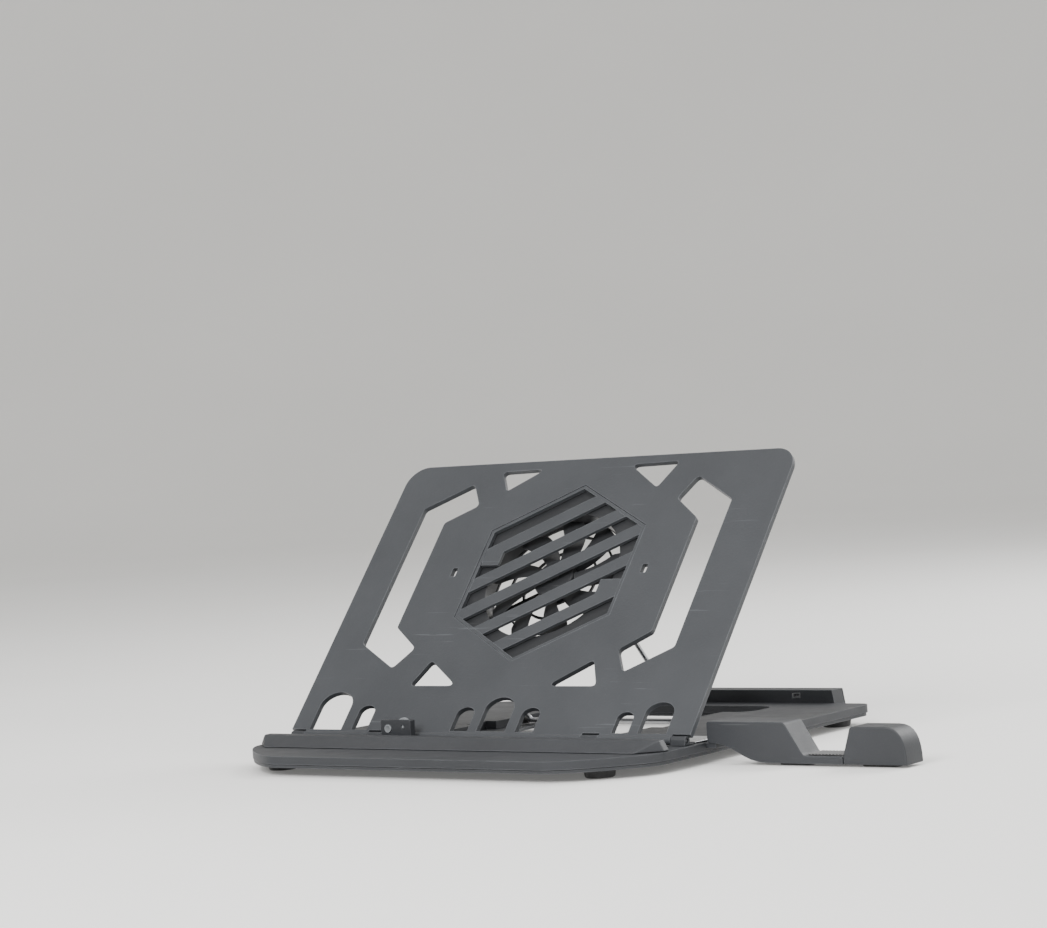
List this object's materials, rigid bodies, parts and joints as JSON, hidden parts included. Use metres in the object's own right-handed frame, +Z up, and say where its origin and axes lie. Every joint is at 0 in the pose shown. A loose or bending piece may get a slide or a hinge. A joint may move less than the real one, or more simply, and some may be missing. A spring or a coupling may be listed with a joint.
{
  "type": "laptop cooling pad",
  "caption": "Folding laptop cooling pad: slatted tilting panel with a rear fan behind a hexagonal vent, flat base, wire prop and a pull-out phone holder.",
  "frame": {"origin": "on the ground, under the middle of the whole object with the phone holder in place", "axes": "+X to the user's right, along the panel's hinge; +Y away from the user; +Z up"},
  "size_m": [0.5194, 0.3694, 0.2126],
  "materials": {
    "shell_plastic": "fine moulded grain",
    "panel_plastic": "fine moulded grain",
    "accent_plastic": "satin",
    "rubber": "matte",
    "steel": "drawn wire",
    "screw_steel": "zinc plated",
    "fan_plastic": "satin moulded",
    "copper": "enamelled winding",
    "board": "solder mask"
  },
  "bodies": {
    "base": {"base_top_cover": "shell_plastic", "base_bottom_cover": "shell_plastic", "stop_lip": "shell_plastic", "lip_pad": "rubber", "hinge_rod": "steel", "rear_housing": "shell_plastic", "rear_housing_cover": "shell_plastic", "control_board": "board", "power_inlet": "steel", "control_housing": "shell_plastic", "arm_guide_plate": "steel", "prop_pad_left": "rubber", "prop_pad_right": "rubber", "foot_front_left": "rubber", "foot_front_right": "rubber", "foot_rear_left": "rubber", "foot_rear_right": "rubber", "hinge_bracket_1": "shell_plastic", "hinge_bracket_2": "shell_plastic", "hinge_bracket_3": "shell_plastic", "hinge_bracket_4": "shell_plastic", "base_screw_1": "screw_steel", "base_screw_2": "screw_steel", "base_screw_3": "screw_steel", "base_screw_4": "screw_steel", "base_screw_5": "screw_steel", "base_screw_6": "screw_steel"},
    "panel": {"panel_plate": "panel_plastic", "vent_grille": "panel_plastic", "fan_housing": "fan_plastic", "fan_guard": "fan_plastic", "motor_stator": "copper", "prop_bracket_left": "shell_plastic", "prop_bracket_right": "shell_plastic", "housing_screw_1": "screw_steel", "housing_screw_2": "screw_steel", "housing_screw_3": "screw_steel", "housing_screw_4": "screw_steel"},
    "fan": {"fan_rotor": "fan_plastic"},
    "prop": {"prop_frame": "steel", "prop_cap_left": "rubber", "prop_cap_right": "rubber"},
    "phone_holder": {"phone_arm": "shell_plastic", "phone_arm_end": "shell_plastic", "phone_slot_pad": "rubber", "arm_foot_inner": "rubber", "arm_foot_outer": "rubber"},
    "speed_wheel": {"speed_wheel": "accent_plastic"},
    "power_button": {"power_button": "accent_plastic"}
  },
  "joints": [
    {"name": "panel_tilt", "type": "hinge", "parent": "base", "child": "panel", "pos_m": [-0.0777, -0.09185, 0.0182], "axis": [1, 0, 0], "range_deg": [-48.7, 0]},
    {"name": "prop_pivot", "type": "hinge", "parent": "panel", "child": "prop", "pos_m": [-0.0777, -0.01231, 0.09874], "axis": [1, 0, 0], "range_deg": [0, 96.09]},
    {"name": "fan_spin", "type": "hinge", "parent": "panel", "child": "fan", "pos_m": [-0.0777, 0.01217, 0.12448], "axis": [0, -0.7513, 0.66], "continuous": true},
    {"name": "phone_holder_slide", "type": "slide", "parent": "base", "child": "phone_holder", "axis": [1, 0, 0], "range_m": [0, 0.045]},
    {"name": "speed_wheel_turn", "type": "hinge", "parent": "base", "child": "speed_wheel", "pos_m": [-0.139, -0.10195, 0.0268], "axis": [0, 1, 0], "range_deg": [0, 270]},
    {"name": "power_button_press", "type": "slide", "parent": "base", "child": "power_button", "axis": [0, 1, 0], "range_m": [0, 0.0008], "stiffness_N_per_m": 2000}
  ],
  "couplings": [
    {"joint": "prop_pivot", "follows": "panel_tilt", "ratio": -1.973}
  ]
}
